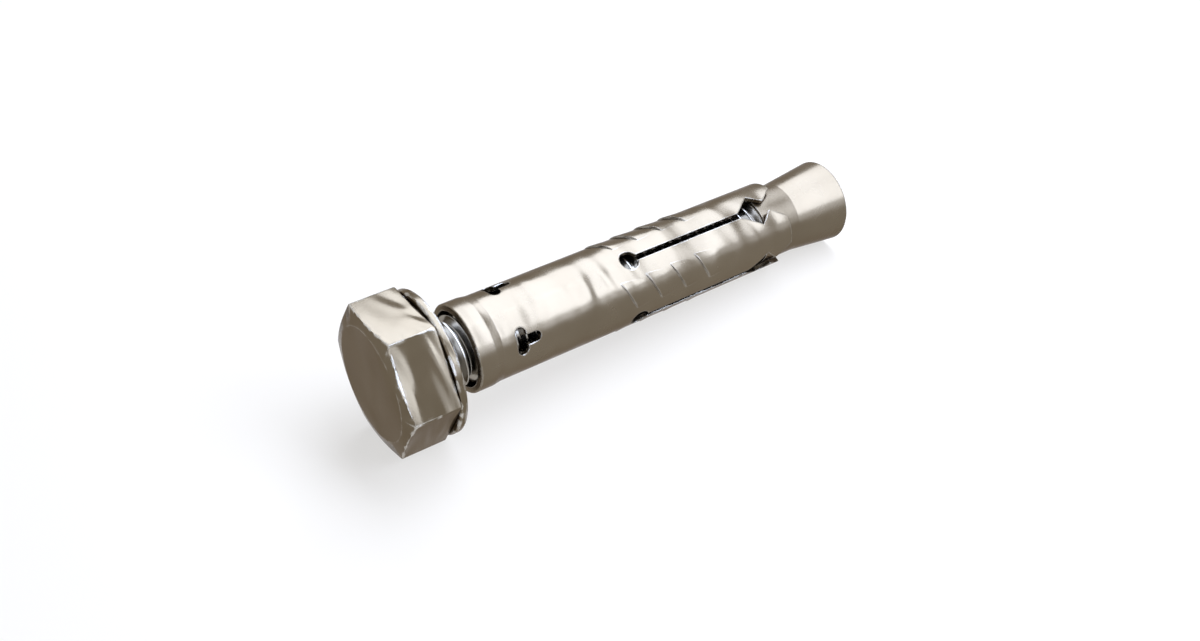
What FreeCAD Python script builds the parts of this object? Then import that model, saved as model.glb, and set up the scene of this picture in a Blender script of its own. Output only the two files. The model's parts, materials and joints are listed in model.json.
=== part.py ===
import FreeCAD, Part
import Sketcher
import os

# Anchor bolt: a hexagon bolt with a washer, a slotted expansion sleeve and a cone nut.
# Each piece is drawn upright about the bolt's axis, with the underside of the head at
# height 0 and the tip upwards. At the end they are all laid down together, as the
# bolt comes to rest on the rim of its washer and the rim of its cone.

doc = FreeCAD.newDocument("anchor_bolt")
sheet = doc.addObject("Spreadsheet::Sheet", "Sizes")

# Driving dimensions, in millimetres and degrees
DIMENSIONS = {
    "thread_diameter": 7.86,
    "bolt_length": 55.0,
    "bolt_tip_chamfer": 0.8,
    "shank_fillet": 0.2,
    "head_across_flats": 15.0,
    "head_height": 5.9,
    "head_face_diameter": 13.0,
    "head_chamfer_angle": 15.0,
    "head_edge_round": 0.25,
    "head_turn": 30.0,
    "washer_diameter": 16.3,
    "washer_thickness": 0.9,
    "washer_clearance": 0.27,
    "washer_edge_round": 0.2,
    "crush_gap": 3.4,
    "sleeve_clearance": 0.44,
    "sleeve_wall": 0.58,
    "sleeve_length": 43.15,
    "slot_count": 4,
    "slot_turn": 26.8,
    "collar_length": 3.1,
    "collar_rise": 0.15,
    "collar_shoulder": 1.0,
    "collar_edge_round": 0.2,
    "tee_from_front": 4.75,
    "tee_bar_length": 3.1,
    "tee_bar_height": 1.35,
    "tee_stem_width": 1.18,
    "tee_height": 3.03,
    "keyhole_from_front": 21.1,
    "keyhole_diameter": 2.28,
    "slot_width": 0.7,
    "eye_from_end": 6.15,
    "eye_peak_from_end": 3.65,
    "eye_width": 4.0,
    "neck_from_end": 2.15,
    "neck_width": 1.25,
    "neck_round": 0.4,
    "leg_end_opening": 4.2,
    "barb_rows": 4,
    "barb_from_front": 19.55,
    "barb_spacing": 3.43,
    "barb_height": 0.2,
    "barb_ramp": 3.0,
    "barb_span": 44.0,
    "barb_end_fade": 12.0,
    "barb_lead": 14.2,
    "thread_clearance": 0.05,
    "nose_clearance": 0.12,
    "nose_depth": 3.0,
    "taper_from_sleeve": 1.95,
    "taper_length": 6.95,
    "rim_overhang": 0.03,
    "rim_round": 0.12,
    "cone_bore_chamfer": 0.5,
}

for row, (alias, dimension) in enumerate(DIMENSIONS.items(), start=1):
    sheet.set(f"A{row}", alias)
    sheet.set(f"B{row}", str(dimension))
    sheet.setAlias(f"B{row}", alias)
doc.recompute()

# Radii and heights that follow from them, as expressions for the sketches
THREAD_RADIUS = "Sizes.thread_diameter / 2"
CORNER_RADIUS = "Sizes.head_across_flats / 2 / cos(30)"
SLEEVE_BORE = f"({THREAD_RADIUS} + Sizes.sleeve_clearance)"
SLEEVE_RADIUS = f"({SLEEVE_BORE} + Sizes.sleeve_wall)"
COLLAR_RADIUS = f"({SLEEVE_RADIUS} + Sizes.collar_rise)"
SLEEVE_FRONT = "(Sizes.washer_thickness + Sizes.crush_gap)"
SLEEVE_END = f"({SLEEVE_FRONT} + Sizes.sleeve_length)"
PANEL_TURN = "(Sizes.slot_turn + 180 / Sizes.slot_count)"
NOSE_RADIUS = f"({SLEEVE_BORE} - Sizes.nose_clearance)"
CONE_BORE = f"({THREAD_RADIUS} + Sizes.thread_clearance)"
CONE_START = f"({SLEEVE_END} - Sizes.nose_depth)"
TAPER_START = f"({SLEEVE_END} + Sizes.taper_from_sleeve)"
CONE_END = f"({TAPER_START} + Sizes.taper_length)"
RIM_RADIUS = f"({SLEEVE_RADIUS} + Sizes.rim_overhang)"

# How far a cutting outline runs past the surface that it leaves by
OVERRUN = "1"


def size(expression):
    """The present value of an expression that uses the sheet's names."""
    return float(sheet.evalExpression(expression))


def new_body(label):
    body = doc.addObject("PartDesign::Body", label)
    body.Label = label
    return body


def new_sketch(body, name, plane_role, turn=None):
    """A sketch on one of the body's origin planes, turned about the bolt's axis."""
    plane = next(p for p in body.Origin.OriginFeatures if p.Role == plane_role)
    sketch = body.newObject("Sketcher::SketchObject", name)
    sketch.AttachmentSupport = [(plane, "")]
    sketch.MapMode = "FlatFace"
    if turn:
        upright = FreeCAD.Rotation(FreeCAD.Vector(0, 1, 0), size(turn))
        sketch.AttachmentOffset = FreeCAD.Placement(FreeCAD.Vector(), upright)
        sketch.setExpression("AttachmentOffset.Rotation.Angle", f"{turn} * 1 deg")
    return sketch


def pin(sketch, geometry, point, across, along):
    """Ties one point of a sketch to its two coordinates."""
    for kind, coordinate, axis in (("DistanceX", across, -2), ("DistanceY", along, -1)):
        if size(coordinate) == 0:
            sketch.addConstraint(Sketcher.Constraint("PointOnObject", geometry, point, axis))
            continue
        tie = Sketcher.Constraint(kind, geometry, point, size(coordinate))
        sketch.setExpression(f"Constraints[{sketch.addConstraint(tie)}]", coordinate)


def add_outline(sketch, corners):
    """A closed outline of straight lines through the given corners."""
    points = [FreeCAD.Vector(size(across), size(along), 0) for across, along in corners]
    for index, point in enumerate(points):
        sketch.addGeometry(Part.LineSegment(point, points[(index + 1) % len(points)]))
    for index, (across, along) in enumerate(corners):
        following = (index + 1) % len(points)
        sketch.addConstraint(Sketcher.Constraint("Coincident", index, 2, following, 1))
        pin(sketch, index, 1, across, along)


def add_circle(sketch, radius, along="0"):
    centre = FreeCAD.Vector(0, size(along), 0)
    upwards = FreeCAD.Vector(0, 0, 1)
    circle = sketch.addGeometry(Part.Circle(centre, upwards, size(radius)))
    pin(sketch, circle, 3, "0", along)
    tie = sketch.addConstraint(Sketcher.Constraint("Radius", circle, size(radius)))
    sketch.setExpression(f"Constraints[{tie}]", radius)


def add_round_slot(sketch, ends, radius):
    """A slot with half-round ends about two centres."""
    first, second = (FreeCAD.Vector(size(across), size(along), 0) for across, along in ends)
    reach = size(radius)
    heading = (second - first).normalize()
    side = FreeCAD.Vector(-heading.y, heading.x, 0) * reach
    for centre, outward in ((first, -heading), (second, heading)):
        turn = FreeCAD.Vector(-outward.y, outward.x, 0) * reach
        sketch.addGeometry(Part.Arc(centre - turn, centre + outward * reach, centre + turn))
    sketch.addGeometry(Part.LineSegment(first - side, second - side))
    sketch.addGeometry(Part.LineSegment(second + side, first + side))
    for before, after in ((0, 2), (2, 1), (1, 3), (3, 0)):
        sketch.addConstraint(Sketcher.Constraint("Tangent", before, 2, after, 1))
    for arc, (across, along) in enumerate(ends):
        pin(sketch, arc, 3, across, along)
    tie = sketch.addConstraint(Sketcher.Constraint("Radius", 0, reach))
    sketch.setExpression(f"Constraints[{tie}]", radius)


def add_feature(body, kind, name, sketch=None, **bound):
    """A feature on a sketch, with each named property bound to an expression."""
    feature = body.newObject(f"PartDesign::{kind}", name)
    if sketch:
        feature.Profile = sketch
    for setting, expression in bound.items():
        feature.setExpression(setting, expression)
    return feature


def turn_profile(body, kind, name, corners):
    """A full turn, solid or cut, of an outline in radius and height about the axis."""
    sketch = new_sketch(body, f"{name}_profile", "XZ_Plane")
    add_outline(sketch, corners)
    feature = add_feature(body, kind, name, sketch)
    feature.ReferenceAxis = (sketch, ["V_Axis"])
    feature.Angle = 360
    doc.recompute()
    return feature


def dress_edges(body, kind, name, test, **bound):
    """A fillet or chamfer on every edge of the body's shape that passes the test."""
    doc.recompute()
    base = body.Tip
    names = [f"Edge{number}" for number, edge in enumerate(base.Shape.Edges, start=1) if test(edge)]
    feature = add_feature(body, kind, name, **bound)
    feature.Base = (base, names)
    doc.recompute()
    return feature


def is_level(edge, height):
    """Whether an edge lies in the plane at this height."""
    box = edge.BoundBox
    return abs(box.ZMin - height) < 1e-4 and abs(box.ZMax - height) < 1e-4


def is_ring(edge, radius):
    """Whether an edge is a full circle of this radius."""
    return edge.isClosed() and abs(edge.BoundBox.XLength / 2 - radius) < 1e-4


# Hexagon bolt: head, shank and the rounded edges of both
bolt = new_body("hex_bolt")
hexagon = new_sketch(bolt, "head_hexagon", "XY_Plane")
corner_turns = [f"Sizes.head_turn + {60 * corner}" for corner in range(6)]
add_outline(hexagon, [(f"{CORNER_RADIUS} * cos({turn})", f"{CORNER_RADIUS} * sin({turn})")
                      for turn in corner_turns])
head = add_feature(bolt, "Pad", "head", hexagon, Length="Sizes.head_height")
head.Reversed = True
chamfer_reach = f"({CORNER_RADIUS} + {OVERRUN})"
turn_profile(bolt, "Groove", "head_chamfer", [
    ("Sizes.head_face_diameter / 2", "-Sizes.head_height"),
    (chamfer_reach, "-Sizes.head_height"),
    (chamfer_reach, f"-Sizes.head_height + ({chamfer_reach} - Sizes.head_face_diameter / 2)"
                    " * tan(Sizes.head_chamfer_angle)"),
])


def is_head_side_edge(edge):
    """The six upright edges of the head and the six round its underside."""
    box = edge.BoundBox
    upright = box.XLength < 1e-4 and box.YLength < 1e-4
    return upright or is_level(edge, 0)


dress_edges(bolt, "Fillet", "head_edges", is_head_side_edge, Radius="Sizes.head_edge_round")
shank_circle = new_sketch(bolt, "shank_circle", "XY_Plane")
add_circle(shank_circle, THREAD_RADIUS)
add_feature(bolt, "Pad", "shank", shank_circle, Length="Sizes.bolt_length")
dress_edges(bolt, "Chamfer", "shank_tip",
            lambda edge: is_level(edge, size("Sizes.bolt_length")),
            Size="Sizes.bolt_tip_chamfer")
dress_edges(bolt, "Fillet", "shank_root",
            lambda edge: is_level(edge, 0) and is_ring(edge, size(THREAD_RADIUS)),
            Radius="Sizes.shank_fillet")

# Washer: a flat ring against the head, with its outer edges rounded
washer = new_body("washer")
washer_bore = f"{THREAD_RADIUS} + Sizes.washer_clearance"
turn_profile(washer, "Revolution", "ring", [
    (washer_bore, "0"),
    ("Sizes.washer_diameter / 2", "0"),
    ("Sizes.washer_diameter / 2", "Sizes.washer_thickness"),
    (washer_bore, "Sizes.washer_thickness"),
])
dress_edges(washer, "Fillet", "ring_edges",
            lambda edge: is_ring(edge, size("Sizes.washer_diameter / 2")),
            Radius="Sizes.washer_edge_round")

# Expansion sleeve: a thin tube with a slightly wider collar at the head end
sleeve = new_body("expansion_sleeve")
turn_profile(sleeve, "Revolution", "tube", [
    (SLEEVE_BORE, SLEEVE_FRONT),
    (COLLAR_RADIUS, SLEEVE_FRONT),
    (COLLAR_RADIUS, f"{SLEEVE_FRONT} + Sizes.collar_length - Sizes.collar_shoulder"),
    (SLEEVE_RADIUS, f"{SLEEVE_FRONT} + Sizes.collar_length"),
    (SLEEVE_RADIUS, SLEEVE_END),
    (SLEEVE_BORE, SLEEVE_END),
])
dress_edges(sleeve, "Fillet", "collar_edge",
            lambda edge: is_level(edge, size(SLEEVE_FRONT)) and is_ring(edge, size(COLLAR_RADIUS)),
            Radius="Sizes.collar_edge_round")


def cut_wall(sketch, name):
    """Cuts a sketch's outline through the wall on the side that the sketch faces."""
    cut = add_feature(sleeve, "Pocket", name, sketch, Length=f"2 * {SLEEVE_RADIUS}")
    cut.Reversed = True
    doc.recompute()
    return cut


def repeat_round(features, name):
    """Repeats features evenly round the sleeve, once for each slot."""
    pattern = sleeve.newObject("PartDesign::PolarPattern", name)
    pattern.Originals = features
    pattern.Axis = (features[0].Profile[0], ["V_Axis"])
    pattern.Angle = 360
    pattern.setExpression("Occurrences", "Sizes.slot_count")
    sleeve.Tip = pattern
    doc.recompute()


# The sleeve's slots: a keyhole, a straight slot, a diamond-shaped eye and flared ends,
# where the four legs will bend
facing_slot = "(Sizes.slot_turn + 90)"
facing_panel = f"({PANEL_TURN} + 90)"
keyhole_height = f"({SLEEVE_FRONT} + Sizes.keyhole_from_front)"
eye_start = f"({SLEEVE_END} - Sizes.eye_from_end)"
keyhole_sketch = new_sketch(sleeve, "keyhole_circle", "XZ_Plane", facing_slot)
add_circle(keyhole_sketch, "Sizes.keyhole_diameter / 2", keyhole_height)
slot_sketch = new_sketch(sleeve, "slot_outline", "XZ_Plane", facing_slot)
add_outline(slot_sketch, [
    ("-Sizes.slot_width / 2", keyhole_height),
    ("Sizes.slot_width / 2", keyhole_height),
    ("Sizes.slot_width / 2", f"({eye_start} + Sizes.slot_width / 2)"),
    ("-Sizes.slot_width / 2", f"({eye_start} + Sizes.slot_width / 2)"),
])
leg_edge = [
    ("Sizes.slot_width / 2", eye_start),
    ("Sizes.eye_width / 2", f"{SLEEVE_END} - Sizes.eye_peak_from_end"),
    ("Sizes.neck_width / 2", f"{SLEEVE_END} - Sizes.neck_from_end"),
    ("Sizes.leg_end_opening / 2", SLEEVE_END),
    ("Sizes.leg_end_opening / 2", f"{SLEEVE_END} + {OVERRUN}"),
]
eye_sketch = new_sketch(sleeve, "eye_outline", "XZ_Plane", facing_slot)
add_outline(eye_sketch, leg_edge + [(f"-{across}", along) for across, along in reversed(leg_edge)])
slot_cuts = [
    cut_wall(keyhole_sketch, "keyhole"),
    cut_wall(slot_sketch, "slot"),
    cut_wall(eye_sketch, "eye"),
]
repeat_round(slot_cuts, "slots")

# The rounded points through the wall where two legs come closest
dress_edges(sleeve, "Fillet", "neck_rounds",
            lambda edge: is_level(edge, size(f"{SLEEVE_END} - Sizes.neck_from_end")),
            Radius="Sizes.neck_round")

# The T-shaped cut-outs behind the collar, where the sleeve is crushed to draw the joint tight
tee_height = f"({SLEEVE_FRONT} + Sizes.tee_from_front)"
bar_radius = "(Sizes.tee_bar_height / 2)"
bar_reach = f"(Sizes.tee_bar_length / 2 - {bar_radius})"
stem_radius = "(Sizes.tee_stem_width / 2)"
bar_sketch = new_sketch(sleeve, "tee_bar_outline", "XZ_Plane", facing_panel)
add_round_slot(bar_sketch, [
    (f"-{bar_reach}", f"{tee_height} + {bar_radius}"),
    (bar_reach, f"{tee_height} + {bar_radius}"),
], bar_radius)
stem_sketch = new_sketch(sleeve, "tee_stem_outline", "XZ_Plane", facing_panel)
add_round_slot(stem_sketch, [
    ("0", f"{tee_height} + {bar_radius}"),
    ("0", f"{tee_height} + Sizes.tee_height - {stem_radius}"),
], stem_radius)
repeat_round([cut_wall(bar_sketch, "tee_bar"), cut_wall(stem_sketch, "tee_stem")], "tees")

# The barbs that stop the sleeve turning: slanted ridges with a step towards the head
# and a ramp towards the tip, whose two ends sink into the wall
barb_root = "(Sizes.sleeve_wall / 4)"
ramp_run = f"(Sizes.barb_ramp * (Sizes.barb_height + {barb_root}) / Sizes.barb_height)"
barb_reach = "(Sizes.barb_span / 2)"
barb_full = f"({barb_reach} - Sizes.barb_end_fade)"
sunk_crest = f"{SLEEVE_RADIUS} - {barb_root} / 2"
full_crest = f"{SLEEVE_RADIUS} + Sizes.barb_height"
barb_stations = [
    (f"-{barb_reach}", sunk_crest),
    (f"-{barb_full}", full_crest),
    ("0", full_crest),
    (barb_full, full_crest),
    (barb_reach, sunk_crest),
]
barbs = []
for row in range(int(size("Sizes.barb_rows"))):
    barb_sections = []
    for station, (turn, crest) in enumerate(barb_stations):
        barb_step = (f"({SLEEVE_FRONT} + Sizes.barb_from_front + {row} * Sizes.barb_spacing"
                     f" + Sizes.barb_lead * {turn} / 360)")
        section = new_sketch(sleeve, f"barb_{row}_section_{station}", "XZ_Plane",
                             f"({PANEL_TURN} + {turn})")
        add_outline(section, [
            (f"{SLEEVE_RADIUS} - {barb_root}", barb_step),
            (crest, barb_step),
            (f"{SLEEVE_RADIUS} - {barb_root}", f"{barb_step} + {ramp_run}"),
        ])
        barb_sections.append(section)
    barb = add_feature(sleeve, "AdditiveLoft", f"barb_{row}", barb_sections[0])
    barb.Sections = barb_sections[1:]
    doc.recompute()
    barbs.append(barb)
repeat_round(barbs, "barb_rows")

# Cone nut: a straight nose inside the legs, a taper that spreads them and a thin rim
cone = new_body("cone_nut")
turn_profile(cone, "Revolution", "cone", [
    (CONE_BORE, CONE_START),
    (NOSE_RADIUS, CONE_START),
    (NOSE_RADIUS, TAPER_START),
    (RIM_RADIUS, CONE_END),
    (CONE_BORE, CONE_END),
])
dress_edges(cone, "Fillet", "rim_edge",
            lambda edge: is_ring(edge, size(RIM_RADIUS)),
            Radius="Sizes.rim_round")
dress_edges(cone, "Chamfer", "bore_mouth",
            lambda edge: is_level(edge, size(CONE_END)) and is_ring(edge, size(CONE_BORE)),
            Size="Sizes.cone_bore_chamfer")

# Laid down: the axis leans until the washer's rim and the cone's rim are both on the floor
washer_rim = size("Sizes.washer_diameter / 2")
cone_rim = size(RIM_RADIUS)
rim_distance = size(f"{CONE_END} - Sizes.washer_thickness")
lean = size(f"atan(({washer_rim} - {cone_rim}) / {rim_distance})")
laid_down = FreeCAD.Rotation(FreeCAD.Vector(0, 1, 0), 90 + lean)
bodies = [bolt, washer, sleeve, cone]
for body in bodies:
    body.Placement = FreeCAD.Placement(FreeCAD.Vector(), laid_down)
doc.recompute()
extent = Part.makeCompound([body.Shape for body in bodies]).optimalBoundingBox()
shift = FreeCAD.Vector(-extent.Center.x, -extent.Center.y, -extent.ZMin)
for body in bodies:
    body.Placement = FreeCAD.Placement(shift, laid_down)
doc.recompute()

for item in doc.Objects:
    if "Invalid" in item.State or "Error" in item.State:
        raise RuntimeError(f"{item.Name} failed: {item.State}")
for body in bodies:
    if body.Shape.isNull() or not body.Shape.isValid() or len(body.Shape.Solids) != 1:
        raise RuntimeError(f"{body.Label} is not one valid solid")

os.makedirs("parts", exist_ok=True)
for body in bodies:
    body.Shape.exportStep(f"parts/{body.Label}.step")
    print(f"{body.Label}: {body.Shape.Volume:.2f} mm3")
print(f"lean {lean:.4f} degrees, shift {shift.x:.4f} {shift.y:.4f} {shift.z:.4f}")
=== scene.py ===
import json
import math

import bmesh
import bpy
from mathutils import Matrix, Vector


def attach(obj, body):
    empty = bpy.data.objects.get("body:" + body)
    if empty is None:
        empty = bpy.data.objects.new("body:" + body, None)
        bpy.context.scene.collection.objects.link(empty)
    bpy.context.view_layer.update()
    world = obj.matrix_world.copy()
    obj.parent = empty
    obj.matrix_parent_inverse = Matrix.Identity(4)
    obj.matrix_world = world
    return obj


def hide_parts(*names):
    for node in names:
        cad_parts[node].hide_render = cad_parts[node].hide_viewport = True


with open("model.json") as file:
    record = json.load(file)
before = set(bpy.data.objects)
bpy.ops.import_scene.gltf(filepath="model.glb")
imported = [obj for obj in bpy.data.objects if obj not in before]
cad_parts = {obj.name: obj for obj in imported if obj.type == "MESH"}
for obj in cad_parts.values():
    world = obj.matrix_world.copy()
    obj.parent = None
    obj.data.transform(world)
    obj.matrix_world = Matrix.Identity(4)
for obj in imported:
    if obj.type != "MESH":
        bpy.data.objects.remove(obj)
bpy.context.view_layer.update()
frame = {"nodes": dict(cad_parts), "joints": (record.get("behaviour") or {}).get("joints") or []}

MM = 0.001

# The bolt's own axis: where it crosses the underside of the head, and its direction
turn_joint = next(joint for joint in frame["joints"] if joint["name"] == "bolt_turn")
AXIS_START = Vector(turn_joint["pos_m"])
AXIS = Vector(turn_joint["axis"]).normalized()
DOWN = Vector((0, 1, 0)).cross(AXIS).normalized()
SIDE = AXIS.cross(DOWN)
# From upright, with the underside of the head at height 0, to where the bolt lies
LAID_DOWN = Matrix.Translation(AXIS_START) @ Matrix((DOWN, SIDE, AXIS)).transposed().to_4x4()

# The thread, in millimetres. It starts just inside the fillet under the head.
THREAD_PITCH = 1.25
THREAD_DEPTH = 0.61343 * THREAD_PITCH
THREAD_RADIUS = 3.93
THREAD_START = 0.15
RUNOUT = 0.9
BOLT_LENGTH = 55.0
TIP_CHAMFER = 0.8
STEPS_PER_TURN = 64
STEPS_PER_PITCH = 16

# The head ends at the top of that fillet. Faces larger than this, in square millimetres, are
# its flats and end faces. Edges that turn less than the first angle are one face with their
# neighbours, and edges that turn more than the second are sharp.
HEAD_END = 0.205
FLAT_AREA = 8.0
FLAT_ANGLE = math.radians(1)
SHARP_ANGLE = math.radians(28)
# Points closer than this, in millimetres, are one point
WELD = 0.001

# The finish: lengths of its patterns, and the height of the grain, in millimetres
CLOUD_LENGTH = 6.0
GLOSS_LENGTH = 3.0
WEAR_LENGTH = 1.1
RING_LENGTH = 2.2
GRAIN_LENGTH = 0.22
GRAIN_HEIGHT = 0.0028
# The sleeve's rings are strong at the first X and gone at the second
RINGS_FULL = -20.0
RINGS_GONE = -8.0
# How closely waves and rings follow each other along X, Y and Z: they run across the bolt
WAVE_STRETCH = (1.0, 0.30, 0.30)
RING_STRETCH = (1.0, 0.22, 0.22)
# How far the gloss goes below and above a finish's own roughness
GLOSS_BELOW = 0.03
GLOSS_ABOVE = 0.04
# The part of a noise's range that holds most of its values
NOISE_RANGE = {"From Min": 0.35, "From Max": 0.65}
# How alike the rounded and the plain direction of the surface are, where no paler bare steel with its
# painted edge highlight shows and where it shows fully
BEND_RANGE = {"From Min": 0.998, "From Max": 0.96}

# The camera: turned and raised in degrees about the laid bolt, then rolled round its
# axis, with the underside of the head at this place before the lens, in millimetres
LENS = 40.95
SENSOR = 36.0
VIEW_TURN = -35.2
VIEW_RISE = 42.4
ROLL_ROUND_BOLT = 4.6
HEAD_FROM_CAMERA = Vector((-18.8, -4.55, -143.4))

# The floor, in metres, and how much of its white near the part is its own. The paper fades to
# plain white between two distances from the part.
FLOOR_REACH = 2.0
PAPER_GLOW = 0.62
FADE_START = 0.10
FADE_END = 0.40

# The plain light of the room, and the softboxes in metres: both stand this far from the part
# and end at the same X, past the tip
ROOM_LIGHT = 0.15
SOFTBOX_DISTANCE = 0.30
SOFTBOX_WIDTH = 0.35
SOFTBOX_TIP_END = 0.265
# A softbox: its lean forwards from straight above in degrees, its length in metres, its watts
SOFTBOXES = {
    "rear_softbox": (-24.0, 0.21, 2.12),
    "front_softbox": (36.0, 0.18, 1.9),
}
# A screen: its width and height, its watts, and the places of its middle and of what it faces
SCREENS = {
    "front_screen": ((0.24, 0.11), 0.13, (0.175, -0.29, 0.075), (0.175, 0, 0)),
    "head_screen": ((0.15, 0.10), 0.075, (0.075, -0.30, 0.095), (-0.03, 0, 0.01)),
    "rim_screen": ((0.16, 0.10), 0.32, (-0.27, -0.18, 0.06), (-0.03, 0, 0.01)),
}


def colour(text):
    """Linear colour from an sRGB hex value."""
    values = [int(text[i:i + 2], 16) / 255 for i in (1, 3, 5)]
    return [v / 12.92 if v <= 0.04045 else ((v + 0.055) / 1.055) ** 2.4 for v in values] + [1.0]


def add_node(tree, kind, links=None, sockets=None, **settings):
    """Adds a node with its settings, its sockets' values and its incoming links."""
    node = tree.nodes.new(kind)
    for name, value in settings.items():
        setattr(node, name, value)
    for name, value in (sockets or {}).items():
        node.inputs[name].default_value = value
    for name, source in (links or {}).items():
        tree.links.new(source, node.inputs[name])
    return node


# The colours of the lamps' daylight and of the paper on the floor
DAYLIGHT = colour("#CEDFFF")
PAPER = colour("#F4E5D0")
# The plating stays brown where it is seen edge-on, and paler bare steel shows where it is rubbed off,
# which also paints a highlight along the edges
GRAZING_TINT = colour("#C5BFBB")
BARE_STEEL_AND_EDGE_GLINT = colour("#CFCDC9")


def fill(tree, socket, value):
    """Gives a socket a plain value, or links it to another node's output."""
    if isinstance(value, bpy.types.NodeSocket):
        tree.links.new(value, socket)
    else:
        socket.default_value = value


def mix_colours(tree, share, first, second):
    """A colour between two others. A Mix node's colours are sockets 6 and 7, its result 2."""
    node = add_node(tree, "ShaderNodeMix", {"Factor": share}, data_type="RGBA")
    fill(tree, node.inputs[6], first)
    fill(tree, node.inputs[7], second)
    return node.outputs[2]


def new_material(name):
    """An empty material and its node tree."""
    material = bpy.data.materials.new(name)
    material.use_nodes = True
    material.node_tree.nodes.clear()
    return material, material.node_tree


def metal(name, pale, dark, roughness, wave, rings=0.0, worn=(0.08, 0.15), rubbing_and_glint=0.6):
    """Plated steel: slow swirling waves left by polishing, forming rings and a fine grain."""
    material, tree = new_material(name)
    place = add_node(tree, "ShaderNodeTexCoord").outputs["Object"]

    def noise(length, stretch=(1, 1, 1), detail=0.0, distortion=0.0):
        """Cloudy noise whose clouds are about this long."""
        scaled = add_node(tree, "ShaderNodeMapping", {"Vector": place},
                          {"Scale": [factor / (length * MM) for factor in stretch]})
        return add_node(tree, "ShaderNodeTexNoise", {"Vector": scaled.outputs["Vector"]},
                        {"Scale": 1.0, "Detail": detail, "Roughness": 0.5,
                         "Distortion": distortion}).outputs["Fac"]

    def bump(height, distance, below):
        """The relief of one pattern laid over the relief below it."""
        return add_node(tree, "ShaderNodeBump", {"Height": height, "Normal": below},
                        {"Strength": 1.0, "Distance": distance * MM}).outputs["Normal"]

    # Darker and paler clouds in the plating
    tint = mix_colours(tree, noise(CLOUD_LENGTH, detail=3.0), colour(dark), colour(pale))

    # Edges rubbed round, unevenly
    wear = add_node(tree, "ShaderNodeMapRange", {"Value": noise(WEAR_LENGTH, distortion=0.5)},
                    {**NOISE_RANGE, "To Min": worn[0] * MM, "To Max": worn[1] * MM})
    edges = add_node(tree, "ShaderNodeBevel", {"Radius": wear.outputs["Result"]}, samples=4)

    # Paler bare steel where the surface bends at those edges: partly plating rubbed off, partly a painted
    # highlight along the edges
    bend = add_node(tree, "ShaderNodeVectorMath",
                    {0: edges.outputs["Normal"],
                     1: add_node(tree, "ShaderNodeNewGeometry").outputs["Normal"]},
                    operation="DOT_PRODUCT")
    rubbed_and_glint = add_node(tree, "ShaderNodeMapRange", {"Value": bend.outputs["Value"]},
                      {**BEND_RANGE, "To Max": rubbing_and_glint})
    skin = mix_colours(tree, rubbed_and_glint.outputs["Result"], tint, BARE_STEEL_AND_EDGE_GLINT)

    # Waves that run mostly across the bolt
    wave_length, wave_height, swirl = wave
    shape = bump(noise(wave_length, WAVE_STRETCH, distortion=swirl), wave_height,
                 edges.outputs["Normal"])
    if rings:
        along = add_node(tree, "ShaderNodeSeparateXYZ", {"Vector": place}).outputs["X"]
        fade = add_node(tree, "ShaderNodeMapRange", {"Value": along},
                        {"From Min": RINGS_GONE * MM, "From Max": RINGS_FULL * MM},
                        interpolation_type="SMOOTHSTEP")
        ring_height = add_node(tree, "ShaderNodeMath",
                               {0: noise(RING_LENGTH, RING_STRETCH), 1: fade.outputs["Result"]},
                               operation="MULTIPLY")
        shape = bump(ring_height.outputs[0], rings, shape)
    grain = bump(noise(GRAIN_LENGTH, detail=2.0), GRAIN_HEIGHT, shape)

    # Patches that were polished more and less
    gloss = add_node(tree, "ShaderNodeMapRange", {"Value": noise(GLOSS_LENGTH, detail=4.0)},
                     {**NOISE_RANGE, "To Min": roughness - GLOSS_BELOW,
                      "To Max": roughness + GLOSS_ABOVE})
    shader = add_node(tree, "ShaderNodeBsdfPrincipled",
                      {"Base Color": skin, "Roughness": gloss.outputs["Result"],
                       "Normal": grain},
                      {"Metallic": 1.0, "Specular Tint": GRAZING_TINT})
    add_node(tree, "ShaderNodeOutputMaterial", {"Surface": shader.outputs["BSDF"]})
    return material


# Black-nickel plating on the head and washer: a warm brown mirror with polishing swirls.
# A wave is given by its length and height in millimetres and by how far it swirls, and worn edges by the
# least and the most that they are rounded and by how much paler bare steel, partly a painted edge
# highlight, shows.
plated_bolt = metal("nickel_plated_bolt_steel", "#726858", "#5F5546", 0.19, (4.2, 0.20, 2.2),
                    worn=(0.05, 0.50), rubbing_and_glint=1.0)
# The same plating on rolled sheet: it keeps rings round the tube from the forming
plated_sleeve = metal("nickel_plated_sheet_steel", "#786E5F", "#685E4F", 0.24, (4.0, 0.30, 1.0), 0.34,
                      worn=(0.12, 0.28), rubbing_and_glint=0.35)
# The same plating on a turned nut: even, with hardly a wave
plated_cone = metal("nickel_plated_turned_steel", "#766C5D", "#665C4D", 0.25, (6.0, 0.12, 0.3))
# Rolled thread: more neutral than the plating round it, and paler, partly its own finish and partly
# painted light against the shade inside the sleeve
rolled = metal("rolled_thread_steel_brightened", "#B2AEA7", "#85817A", 0.18, (1.2, 0.10, 0.8))


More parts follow.
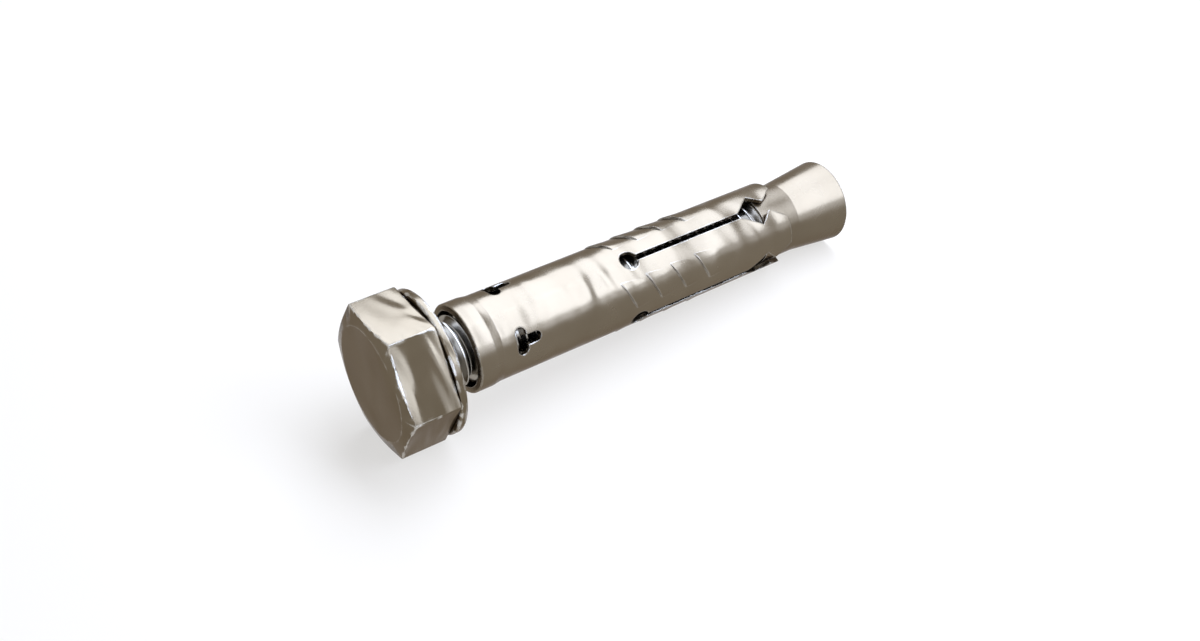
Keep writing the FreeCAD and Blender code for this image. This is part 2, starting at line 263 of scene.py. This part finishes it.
def thread_tree():
    """Geometry Nodes for the threaded shank: a flat grid, turns by flank steps, rolled round the axis."""
    tree = bpy.data.node_groups.new("rolled_thread", "GeometryNodeTree")
    for name, value in (
        ("Pitch", THREAD_PITCH),
        ("Depth", THREAD_DEPTH),
        ("Radius", THREAD_RADIUS),
        ("Start", THREAD_START),
        ("Run-out", RUNOUT),
        ("Length", BOLT_LENGTH),
        ("Tip chamfer", TIP_CHAMFER),
    ):
        socket = tree.interface.new_socket(name, in_out="INPUT", socket_type="NodeSocketFloat")
        socket.default_value = value * MM
    tree.interface.new_socket("Material", in_out="INPUT", socket_type="NodeSocketMaterial")
    tree.interface.new_socket("Geometry", in_out="OUTPUT", socket_type="NodeSocketGeometry")
    given = add_node(tree, "NodeGroupInput").outputs

    def maths(operation, first, second=0.0):
        """One sum, each of its terms a number or another node's output."""
        node = add_node(tree, "ShaderNodeMath", operation=operation)
        for socket, value in zip(node.inputs, (first, second)):
            fill(tree, socket, value)
        return node.outputs[0]

    # One turn more than the length needs at each end, cut off square afterwards
    turns = maths("ADD", maths("CEIL", maths("DIVIDE", given["Length"], given["Pitch"])), 2.0)
    steps = maths("ADD", maths("MULTIPLY", turns, float(STEPS_PER_TURN)), 1.0)
    grid = add_node(tree, "GeometryNodeMeshGrid",
                    {"Size X": turns, "Vertices X": steps},
                    {"Size Y": 1.0, "Vertices Y": STEPS_PER_PITCH + 1})
    spot = add_node(tree, "ShaderNodeSeparateXYZ",
                    {"Vector": add_node(tree, "GeometryNodeInputPosition").outputs[0]})
    turn = maths("ADD", spot.outputs["X"], maths("MULTIPLY", turns, 0.5))
    across = maths("ADD", spot.outputs["Y"], 0.5)
    height = maths("MULTIPLY", maths("SUBTRACT", maths("ADD", turn, across), 1.0), given["Pitch"])

    # A crest flat of an eighth of the pitch, a root flat of a quarter, straight flanks between
    from_crest = maths("SUBTRACT", 0.5, maths("ABSOLUTE", maths("SUBTRACT", across, 0.5)))
    flank = add_node(tree, "ShaderNodeMapRange", {"Value": from_crest},
                     {"From Min": 1 / 16, "From Max": 3 / 8})
    # The groove grows from nothing where the rolling starts
    runout = add_node(tree, "ShaderNodeMapRange",
                      {"Value": height, "From Min": given["Start"],
                       "From Max": maths("ADD", given["Start"], given["Run-out"])},
                      interpolation_type="SMOOTHSTEP")
    depth = maths("MULTIPLY", maths("MULTIPLY", flank.outputs["Result"], given["Depth"]),
                  runout.outputs["Result"])
    chamfer_top = maths("SUBTRACT", maths("ADD", given["Length"], given["Radius"]), given["Tip chamfer"])
    radius = maths("MINIMUM", maths("SUBTRACT", given["Radius"], depth),
                   maths("SUBTRACT", chamfer_top, height))

    angle = maths("MULTIPLY", turn, math.tau)
    rolled_round = add_node(tree, "ShaderNodeCombineXYZ", {
        "X": maths("MULTIPLY", radius, maths("COSINE", angle)),
        "Y": maths("MULTIPLY", radius, maths("SINE", angle)),
        "Z": height})
    moved = add_node(tree, "GeometryNodeSetPosition",
                     {"Geometry": grid.outputs["Mesh"], "Position": rolled_round.outputs[0]})
    welded = add_node(tree, "GeometryNodeMergeByDistance", {"Geometry": moved.outputs[0]},
                      {"Distance": WELD * MM})
    real = add_node(tree, "GeometryNodeRealizeInstances", {"Geometry": welded.outputs[0]})
    finished = add_node(tree, "GeometryNodeSetMaterial",
                        {"Geometry": real.outputs[0], "Material": given["Material"]})
    add_node(tree, "NodeGroupOutput", {"Geometry": finished.outputs[0]})
    return tree


def grow(name, tree, **inputs):
    """Runs a Geometry Nodes tree on an empty mesh and returns the result as a plain mesh."""
    carrier = bpy.data.objects.new(name, bpy.data.meshes.new(name))
    bpy.context.scene.collection.objects.link(carrier)
    modifier = carrier.modifiers.new("shape", "NODES")
    modifier.node_group = tree
    for item in tree.interface.items_tree:
        if item.in_out == "INPUT" and item.name in inputs:
            modifier[item.identifier] = inputs[item.name]
    graph = bpy.context.evaluated_depsgraph_get()
    mesh = bpy.data.meshes.new_from_object(carrier.evaluated_get(graph))
    carrier.modifiers.clear()
    bpy.data.objects.remove(carrier)
    return mesh


def shank_form():
    """The threaded shank, cut square and closed at both ends, where the bolt lies."""
    form = bmesh.new()
    form.from_mesh(grow("shank", thread_tree(), Material=rolled))
    for height, outward in ((THREAD_START * MM, -1), (BOLT_LENGTH * MM, 1)):
        whole = form.verts[:] + form.edges[:] + form.faces[:]
        cut = bmesh.ops.bisect_plane(form, geom=whole, plane_co=(0, 0, height),
                                     plane_no=(0, 0, outward), clear_outer=True)
        rim = [edge for edge in cut["geom_cut"] if isinstance(edge, bmesh.types.BMEdge)]
        bmesh.ops.contextual_create(form, geom=rim)
    bmesh.ops.recalc_face_normals(form, faces=form.faces[:])
    bmesh.ops.transform(form, matrix=LAID_DOWN, verts=form.verts[:])
    for face in form.faces:
        face.material_index = 1
    return form


def head_mesh():
    """The bolt's head from the CAD, without the plain shank, closed under the fillet."""
    head = bmesh.new()
    head.from_mesh(frame["nodes"]["hex_bolt"].data)
    bmesh.ops.remove_doubles(head, verts=head.verts[:], dist=WELD * MM)
    upright = LAID_DOWN.inverted()
    shank = [vert for vert in head.verts if (upright @ vert.co).z > HEAD_END * MM]
    bmesh.ops.delete(head, geom=shank, context="VERTS")
    bmesh.ops.dissolve_limit(head, angle_limit=FLAT_ANGLE, verts=head.verts[:],
                             edges=head.edges[:])
    bmesh.ops.holes_fill(head, edges=[edge for edge in head.edges if edge.is_boundary])
    bmesh.ops.recalc_face_normals(head, faces=head.faces[:])
    mesh = bpy.data.meshes.new("head")
    head.to_mesh(mesh)
    head.free()
    return mesh


def build_bolt():
    """The head and the threaded shank as one piece, in place of the CAD's plain bolt."""
    form = shank_form()
    form.from_mesh(head_mesh())
    mesh = bpy.data.meshes.new("threaded_bolt")
    form.to_mesh(mesh)
    form.free()
    mesh.materials.append(plated_bolt)
    mesh.materials.append(rolled)
    # The flats and end faces keep their own normals; the rounded edges are smooth between them
    for polygon in mesh.polygons:
        polygon.use_smooth = polygon.area < FLAT_AREA * MM * MM
    mesh.set_sharp_from_angle(angle=SHARP_ANGLE)
    piece = bpy.data.objects.new("threaded_bolt", mesh)
    bpy.context.scene.collection.objects.link(piece)
    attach(piece, "bolt")
    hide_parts("hex_bolt")


def dress(node, material):
    """Gives a piece of the CAD its material."""
    materials = frame["nodes"][node].data.materials
    materials.clear()
    materials.append(material)


def add_camera():
    """The camera, turned, raised and rolled about the laid bolt."""
    data = bpy.data.cameras.new("camera")
    data.lens = LENS
    data.sensor_width = SENSOR
    data.clip_start = 0.01
    data.clip_end = 10.0
    camera = bpy.data.objects.new("camera", data)
    bpy.context.scene.collection.objects.link(camera)
    turn, rise = math.radians(VIEW_TURN), math.radians(VIEW_RISE)
    back = Vector((math.sin(turn) * math.cos(rise), -math.cos(turn) * math.cos(rise), math.sin(rise)))
    level = back.to_track_quat("Z", "Y").to_matrix().to_4x4()
    level.translation = AXIS_START - level.to_3x3() @ (HEAD_FROM_CAMERA * MM)
    rolled_over = Matrix.Rotation(math.radians(ROLL_ROUND_BOLT), 4, AXIS)
    to_axis = Matrix.Translation(AXIS_START)
    camera.matrix_world = to_axis @ rolled_over @ to_axis.inverted() @ level
    bpy.context.scene.camera = camera


def add_lamp(name, size, power, place, target):
    """A softbox of daylight, facing its target."""
    data = bpy.data.lights.new(name, "AREA")
    data.shape = "RECTANGLE"
    data.size, data.size_y = size
    data.energy = power
    data.color = DAYLIGHT[:3]
    lamp = bpy.data.objects.new(name, data)
    bpy.context.scene.collection.objects.link(lamp)
    lamp.location = place
    lamp.rotation_mode = "QUATERNION"
    lamp.rotation_quaternion = (Vector(place) - Vector(target)).to_track_quat("Z", "Y")


def add_softbox(name, lean, length, power):
    """A softbox over the bolt, leaning forwards by an angle from straight above."""
    slope = math.radians(lean)
    along = SOFTBOX_TIP_END - length / 2
    place = (along, -SOFTBOX_DISTANCE * math.sin(slope), SOFTBOX_DISTANCE * math.cos(slope))
    add_lamp(name, (length, SOFTBOX_WIDTH), power, place, (along, 0, 0))


def white_where_seen(tree, straight):
    """The share of full white that shows: some to the camera itself, all in metal or glass."""
    path = add_node(tree, "ShaderNodeLightPath").outputs
    camera = add_node(tree, "ShaderNodeMath", {0: path["Is Camera Ray"]}, operation="MULTIPLY")
    fill(tree, camera.inputs[1], straight)
    mirrored = add_node(tree, "ShaderNodeMath", {0: path["Is Glossy Ray"], 1: path["Is Transmission Ray"]},
                        operation="MAXIMUM")
    return add_node(tree, "ShaderNodeMath", {0: camera.outputs[0], 1: mirrored.outputs[0]},
                    operation="MAXIMUM").outputs[0]


def add_floor():
    """White paper that keeps a soft shadow round the part."""
    material, tree = new_material("white_paper")
    paper = add_node(tree, "ShaderNodeBsdfDiffuse", sockets={"Color": PAPER})
    white = add_node(tree, "ShaderNodeEmission", sockets={"Color": colour("#FFFFFF"), "Strength": 1.0})
    place = add_node(tree, "ShaderNodeTexCoord").outputs["Object"]
    away = add_node(tree, "ShaderNodeVectorMath", {0: place}, operation="LENGTH")
    glow = add_node(tree, "ShaderNodeMapRange", {"Value": away.outputs["Value"]},
                    {"From Min": FADE_START, "From Max": FADE_END, "To Min": PAPER_GLOW},
                    interpolation_type="SMOOTHSTEP")
    both = add_node(tree, "ShaderNodeMixShader",
                    {0: white_where_seen(tree, glow.outputs["Result"]), 1: paper.outputs[0],
                     2: white.outputs[0]})
    add_node(tree, "ShaderNodeOutputMaterial", {"Surface": both.outputs[0]})
    mesh = bpy.data.meshes.new("floor")
    corners = [(x * FLOOR_REACH, y * FLOOR_REACH, 0) for x, y in ((-1, -1), (1, -1), (1, 1), (-1, 1))]
    mesh.from_pydata(corners, [], [(0, 1, 2, 3)])
    mesh.materials.append(material)
    floor = bpy.data.objects.new("floor", mesh)
    bpy.context.scene.collection.objects.link(floor)


def add_world():
    """A white room: full white where it is seen, and only a little plain light from it."""
    world = bpy.data.worlds.new("studio")
    bpy.context.scene.world = world
    world.use_nodes = True
    tree = world.node_tree
    tree.nodes.clear()
    strength = add_node(tree, "ShaderNodeMapRange", {"Value": white_where_seen(tree, 1.0)},
                        {"To Min": ROOM_LIGHT, "To Max": 1.0})
    sky = add_node(tree, "ShaderNodeBackground", {"Strength": strength.outputs["Result"]},
                   {"Color": (1, 1, 1, 1)})
    add_node(tree, "ShaderNodeOutputWorld", {"Surface": sky.outputs["Background"]})


build_bolt()
dress("washer", plated_bolt)
dress("expansion_sleeve", plated_sleeve)
dress("cone_nut", plated_cone)

add_camera()
add_floor()
add_world()
# Two large softboxes meet overhead like a roof, from low in front to halfway down behind. A dim
# screen below the front one softens its edge, a second brightens the head's front flat, and a
# third, low at the left, the head's worn rim.
for lamp, (lean, length, power) in SOFTBOXES.items():
    add_softbox(lamp, lean, length, power)
for lamp, (size, power, place, target) in SCREENS.items():
    add_lamp(lamp, size, power, place, target)

bpy.context.scene.view_settings.view_transform = "Standard"
